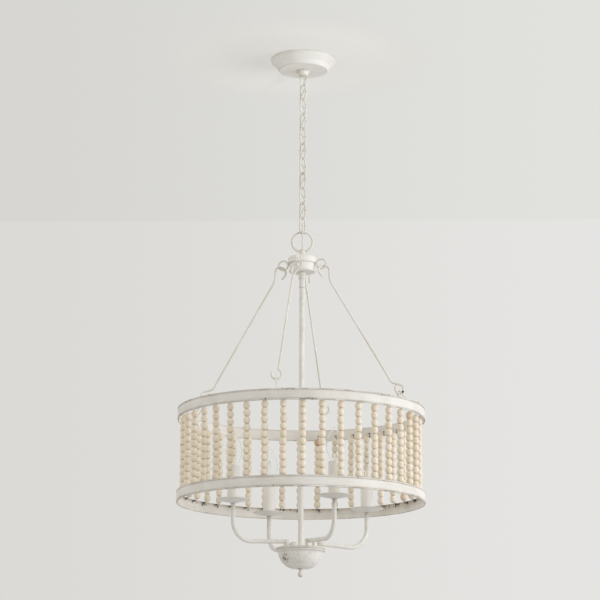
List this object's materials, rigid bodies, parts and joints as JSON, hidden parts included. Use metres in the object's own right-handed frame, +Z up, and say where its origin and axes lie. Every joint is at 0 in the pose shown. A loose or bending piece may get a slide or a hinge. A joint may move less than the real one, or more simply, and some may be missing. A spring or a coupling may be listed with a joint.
{
  "type": "beaded chandelier",
  "caption": "Drum chandelier of distressed white metal hoops and pale wooden bead strings, with candle arms on a stem, hung by hooked rods and a chain from a round ceiling canopy.",
  "frame": {"origin": "middle of the mounting strap's top face, in the ceiling plane, on the chandelier's centre line", "axes": "+Z up, out of the ceiling face along the centre line; -Y towards the front of the picture; +X to its right"},
  "size_m": [0.45, 0.45, 0.9738],
  "materials": {
    "painted_metal": "chalky off-white paint, distressed at the edges",
    "bead_wood": "pale washed wood, satin",
    "candle_sleeve": "matt",
    "lamp_socket": "matt",
    "bulb_glass": "clear",
    "supply_cord": "translucent whitish sheath",
    "strap_steel": "zinc plated"
  },
  "bodies": {
    "canopy": {"canopy": "painted_metal", "mounting_strap": "strap_steel", "canopy_collar": "painted_metal", "canopy_loop": "painted_metal", "supply_cord": "supply_cord"},
    "link_01": {"chain_link_01": "painted_metal"},
    "link_02": {"chain_link_02": "painted_metal"},
    "link_03": {"chain_link_03": "painted_metal"},
    "link_04": {"chain_link_04": "painted_metal"},
    "link_05": {"chain_link_05": "painted_metal"},
    "link_06": {"chain_link_06": "painted_metal"},
    "link_07": {"chain_link_07": "painted_metal"},
    "link_08": {"chain_link_08": "painted_metal"},
    "link_09": {"chain_link_09": "painted_metal"},
    "link_10": {"chain_link_10": "painted_metal"},
    "suspension": {"hanging_loop": "painted_metal", "hub": "painted_metal", "hub_eye_front": "painted_metal", "hub_eye_right": "painted_metal", "hub_eye_rear": "painted_metal", "hub_eye_left": "painted_metal", "stem_collar": "painted_metal", "stem": "painted_metal", "arm_plate": "painted_metal", "bowl": "painted_metal", "finial": "painted_metal", "arm_front_left": "painted_metal", "drip_pan_front_left": "painted_metal", "candle_sleeve_front_left": "candle_sleeve", "lamp_socket_front_left": "lamp_socket", "bulb_front_left": "bulb_glass", "arm_front_right": "painted_metal", "drip_pan_front_right": "painted_metal", "candle_sleeve_front_right": "candle_sleeve", "lamp_socket_front_right": "lamp_socket", "bulb_front_right": "bulb_glass", "arm_rear_right": "painted_metal", "drip_pan_rear_right": "painted_metal", "candle_sleeve_rear_right": "candle_sleeve", "lamp_socket_rear_right": "lamp_socket", "bulb_rear_right": "bulb_glass", "arm_rear_left": "painted_metal", "drip_pan_rear_left": "painted_metal", "candle_sleeve_rear_left": "candle_sleeve", "lamp_socket_rear_left": "lamp_socket", "bulb_rear_left": "bulb_glass"},
    "drum": {"top_hoop": "painted_metal", "bead_curtain_1": "bead_wood", "bead_curtain_2": "bead_wood", "bead_curtain_3": "bead_wood", "bead_curtain_4": "bead_wood", "bead_curtain_5": "bead_wood", "bead_curtain_6": "bead_wood", "bead_curtain_7": "bead_wood", "bead_curtain_8": "bead_wood"},
    "lower_hoop": {"bottom_hoop": "painted_metal"},
    "rod_front": {"hanging_rod_front": "painted_metal"},
    "rod_right": {"hanging_rod_right": "painted_metal"},
    "rod_rear": {"hanging_rod_rear": "painted_metal"},
    "rod_left": {"hanging_rod_left": "painted_metal"}
  },
  "joints": [
    {"name": "link_01_swing", "type": "hinge", "parent": "canopy", "child": "link_01", "pos_m": [0, 0, -0.05155], "axis": [0.7071, 0.7071, 0], "range_deg": [-15, 15], "deforming": ["supply_cord"]},
    {"name": "link_02_swing", "type": "hinge", "parent": "link_01", "child": "link_02", "pos_m": [0, 0, -0.08035], "axis": [0.7071, -0.7071, 0], "range_deg": [-15, 15], "deforming": ["supply_cord"]},
    {"name": "link_03_swing", "type": "hinge", "parent": "link_02", "child": "link_03", "pos_m": [0, 0, -0.10915], "axis": [0.7071, 0.7071, 0], "range_deg": [-15, 15], "deforming": ["supply_cord"]},
    {"name": "link_04_swing", "type": "hinge", "parent": "link_03", "child": "link_04", "pos_m": [0, 0, -0.13795], "axis": [0.7071, -0.7071, 0], "range_deg": [-15, 15], "deforming": ["supply_cord"]},
    {"name": "link_05_swing", "type": "hinge", "parent": "link_04", "child": "link_05", "pos_m": [0, 0, -0.16675], "axis": [0.7071, 0.7071, 0], "range_deg": [-15, 15], "deforming": ["supply_cord"]},
    {"name": "link_06_swing", "type": "hinge", "parent": "link_05", "child": "link_06", "pos_m": [0, 0, -0.19555], "axis": [0.7071, -0.7071, 0], "range_deg": [-15, 15], "deforming": ["supply_cord"]},
    {"name": "link_07_swing", "type": "hinge", "parent": "link_06", "child": "link_07", "pos_m": [0, 0, -0.22435], "axis": [0.7071, 0.7071, 0], "range_deg": [-15, 15], "deforming": ["supply_cord"]},
    {"name": "link_08_swing", "type": "hinge", "parent": "link_07", "child": "link_08", "pos_m": [0, 0, -0.25315], "axis": [0.7071, -0.7071, 0], "range_deg": [-15, 15], "deforming": ["supply_cord"]},
    {"name": "link_09_swing", "type": "hinge", "parent": "link_08", "child": "link_09", "pos_m": [0, 0, -0.28195], "axis": [0.7071, 0.7071, 0], "range_deg": [-15, 15], "deforming": ["supply_cord"]},
    {"name": "link_10_swing", "type": "hinge", "parent": "link_09", "child": "link_10", "pos_m": [0, 0, -0.31075], "axis": [0.7071, -0.7071, 0], "range_deg": [-15, 15], "deforming": ["supply_cord"]},
    {"name": "suspension_swing", "type": "hinge", "parent": "link_10", "child": "suspension", "pos_m": [0, 0, -0.33955], "axis": [0.7071, 0.7071, 0], "range_deg": [-15, 15], "deforming": ["supply_cord"]},
    {"name": "drum_sway", "type": "hinge", "parent": "suspension", "child": "drum", "pos_m": [0, 0, -0.33561], "axis": [0.9703, -0.2419, 0], "range_deg": [-3, 3]},
    {"name": "rod_front_swing", "type": "hinge", "parent": "suspension", "child": "rod_front", "pos_m": [-0.0099, -0.0397, -0.40555], "axis": [0.9703, -0.2419, 0], "range_deg": [-3.9, 3.9]},
    {"name": "rod_right_swing", "type": "hinge", "parent": "suspension", "child": "rod_right", "pos_m": [0.0397, -0.0099, -0.40555], "axis": [0.9703, -0.2419, 0], "range_deg": [-3.9, 3.9]},
    {"name": "rod_rear_swing", "type": "hinge", "parent": "suspension", "child": "rod_rear", "pos_m": [0.0099, 0.0397, -0.40555], "axis": [0.9703, -0.2419, 0], "range_deg": [-3.9, 3.9]},
    {"name": "rod_left_swing", "type": "hinge", "parent": "suspension", "child": "rod_left", "pos_m": [-0.0397, 0.0099, -0.40555], "axis": [0.9703, -0.2419, 0], "range_deg": [-3.9, 3.9]},
    {"name": "lower_hoop_twist", "type": "hinge", "parent": "drum", "child": "lower_hoop", "pos_m": [0, 0, -0.8317], "axis": [0, 0, 1], "range_deg": [-4, 4], "stiffness_Nm_per_rad": 1.5}
  ],
  "couplings": [
    {"joint": "rod_front_swing", "follows": "drum_sway", "ratio": 1.29},
    {"joint": "rod_right_swing", "follows": "drum_sway", "ratio": 1.29},
    {"joint": "rod_rear_swing", "follows": "drum_sway", "ratio": 1.29},
    {"joint": "rod_left_swing", "follows": "drum_sway", "ratio": 1.29}
  ]
}
